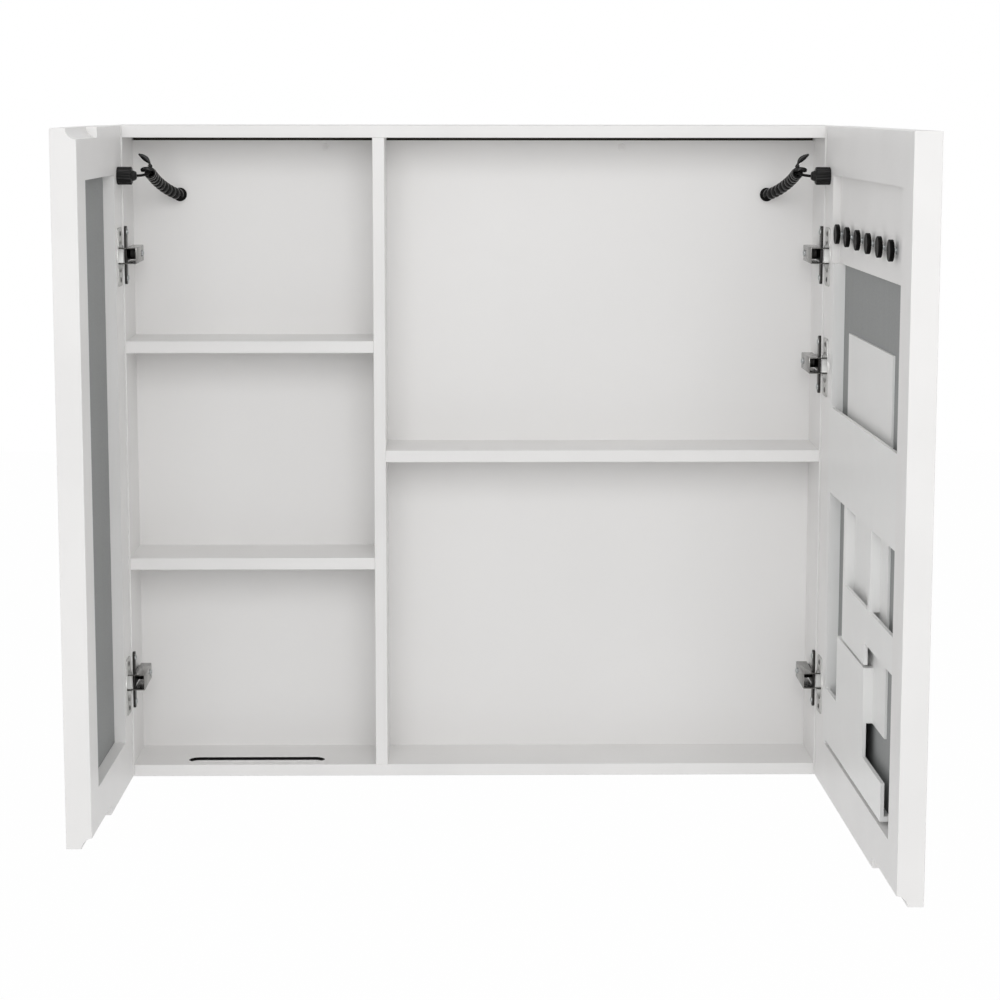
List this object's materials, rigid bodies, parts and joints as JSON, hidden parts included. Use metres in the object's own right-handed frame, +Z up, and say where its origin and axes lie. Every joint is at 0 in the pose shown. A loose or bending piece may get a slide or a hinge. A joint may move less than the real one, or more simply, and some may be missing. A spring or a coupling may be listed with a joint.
{
  "type": "medicine cabinet",
  "caption": "Wall-hung white medicine cabinet with framed mirror doors on concealed hinges, fixed shelves, a tissue slot in its floor, and hooks and shallow pockets inside the wider door.",
  "frame": {"origin": "On the wall plane, midway between the two hanging-screw holes of the wall cleat.", "axes": "+Z up, +X to the right of a person facing the cabinet, +Y into the wall; the doors face -Y."},
  "size_m": [0.8065, 0.5919, 0.6985],
  "materials": {
    "white_lacquer": "satin white lacquer on fibreboard",
    "back_panel_white": "satin white melamine",
    "organizer_white": "satin white moulded plastic",
    "mirror": "silvered glass",
    "mirror_backing": "matt grey backing board",
    "light_strip": "diffused light strip",
    "nickel": "bright nickel plate",
    "steel": "bright zinc plate",
    "dark_zinc": "dark passivated zinc",
    "black_nylon": "black moulded nylon",
    "black_cable": "matt black sheath",
    "black_wrap": "smooth black polyethylene",
    "black_rubber": "matt black rubber",
    "black_knob": "satin black",
    "beech": "bare beech",
    "plywood": "bare plywood",
    "driver_case": "white moulded case"
  },
  "bodies": {
    "cabinet": {"back_panel": "back_panel_white", "bottom_panel": "white_lacquer", "cabinet_cleat": "plywood", "carcass_dowels": "beech", "cleat_screws": "steel", "lead_grommets": "black_rubber", "left_arm_screws": "steel", "left_cable_wrap": "black_wrap", "left_door_lead": "black_cable", "left_hinge_arms": "nickel", "left_hinge_plates": "dark_zinc", "left_lower_shelf": "white_lacquer", "left_plate_screws": "steel", "left_side_panel": "white_lacquer", "left_upper_shelf": "white_lacquer", "lighting_driver": "driver_case", "partition": "white_lacquer", "right_arm_screws": "steel", "right_cable_wrap": "black_wrap", "right_door_lead": "black_cable", "right_hinge_arms": "nickel", "right_hinge_plates": "dark_zinc", "right_plate_screws": "steel", "right_shelf": "white_lacquer", "right_side_panel": "white_lacquer", "slot_trim": "black_rubber", "top_panel": "white_lacquer", "wall_cleat": "plywood"},
    "left_door": {"left_door_hinge_stile": "white_lacquer", "left_door_free_stile": "white_lacquer", "left_door_top_rail": "white_lacquer", "left_door_bottom_rail": "white_lacquer", "left_mirror": "mirror", "left_mirror_backing": "mirror_backing", "left_light_strips": "light_strip", "left_hinge_cups": "nickel", "left_hinge_pins": "steel", "left_cup_screws": "steel", "left_cable_gland": "black_nylon"},
    "right_door": {"right_door_hinge_stile": "white_lacquer", "right_door_free_stile": "white_lacquer", "right_door_top_rail": "white_lacquer", "right_door_bottom_rail": "white_lacquer", "right_mirror": "mirror", "right_mirror_backing": "mirror_backing", "right_light_strips": "light_strip", "right_hinge_cups": "nickel", "right_hinge_pins": "steel", "right_cup_screws": "steel", "right_cable_gland": "black_nylon", "hook_board": "organizer_white", "hook_stems": "steel", "hook_knobs": "black_knob", "organizer_back": "organizer_white", "upper_pocket_front": "organizer_white", "middle_pocket_front": "organizer_white", "lower_pocket_front": "organizer_white", "side_pocket_front": "organizer_white", "organizer_dividers": "organizer_white", "organizer_floors": "organizer_white"}
  },
  "joints": [
    {"name": "left_door_hinge", "type": "hinge", "parent": "cabinet", "child": "left_door", "pos_m": [-0.37565, -0.11825, -0.27425], "axis": [0, 0, 1], "range_deg": [-8.75, 91.25], "deforming": ["left_door_lead", "left_cable_wrap"]},
    {"name": "right_door_hinge", "type": "hinge", "parent": "cabinet", "child": "right_door", "pos_m": [0.37565, -0.11825, -0.27425], "axis": [0, 0, 1], "range_deg": [-91.25, 8.75], "deforming": ["right_door_lead", "right_cable_wrap"]}
  ]
}
